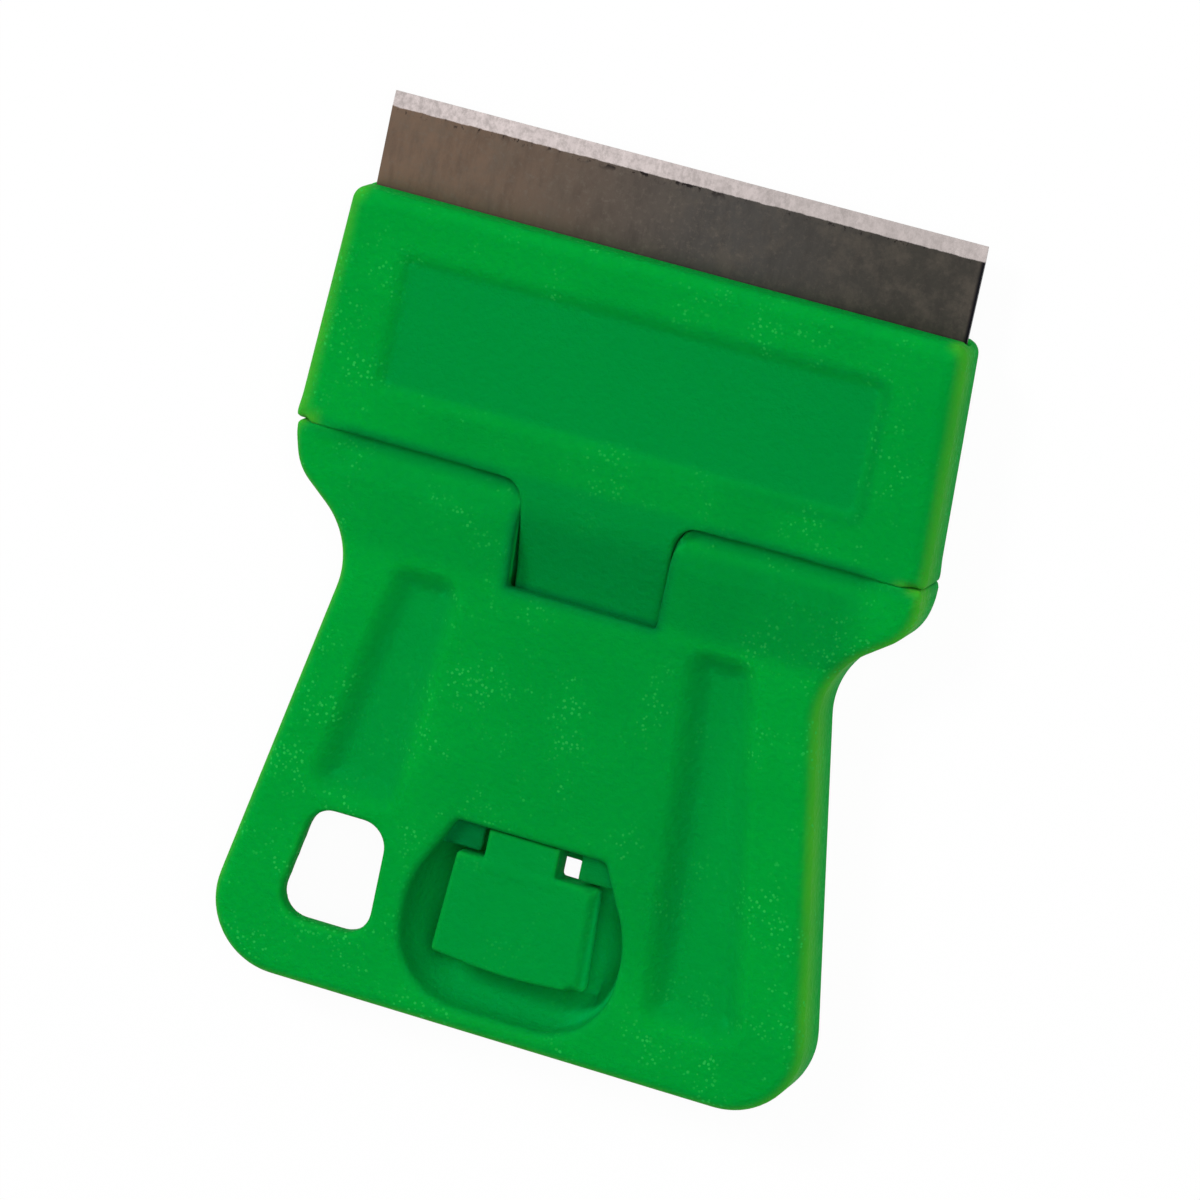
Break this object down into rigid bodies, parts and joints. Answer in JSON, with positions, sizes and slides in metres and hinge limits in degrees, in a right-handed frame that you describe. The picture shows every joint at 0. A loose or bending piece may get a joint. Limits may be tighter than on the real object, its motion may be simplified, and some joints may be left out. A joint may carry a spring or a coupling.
{
  "type": "cleaning scraper",
  "caption": "Pocket glass scraper: waisted plastic handle with thumb window, finger grooves and hanging hole, and a pull-out holder for a single-edge blade.",
  "frame": {"origin": "centre of the back face's plane, under the middle of the overall length and width", "axes": "+Y along the scraper from the foot of the handle to the cutting edge, +Z out of the front face, +X to the right as the front is seen with the blade up"},
  "size_m": [0.0408, 0.0556, 0.005],
  "materials": {
    "green_plastic": "satin, with a fine spark-eroded grain",
    "blade_steel": "dark strip steel with a bright ground edge",
    "spine_steel": "plain cold-rolled strip"
  },
  "bodies": {
    "handle": {"handle": "green_plastic"},
    "head": {"blade_holder": "green_plastic", "blade": "blade_steel", "blade_spine": "spine_steel"},
    "latch": {"latch_tongue": "green_plastic"}
  },
  "joints": [
    {"name": "holder_slide", "type": "slide", "parent": "handle", "child": "head", "axis": [0, 1, 0], "range_m": [0, 0.03], "deforming": ["latch_tongue"]},
    {"name": "latch_press", "type": "hinge", "parent": "head", "child": "latch", "pos_m": [0, -0.00105, 0.00302], "axis": [1, 0, 0], "range_deg": [0, 3.6], "stiffness_Nm_per_rad": 0.4}
  ]
}
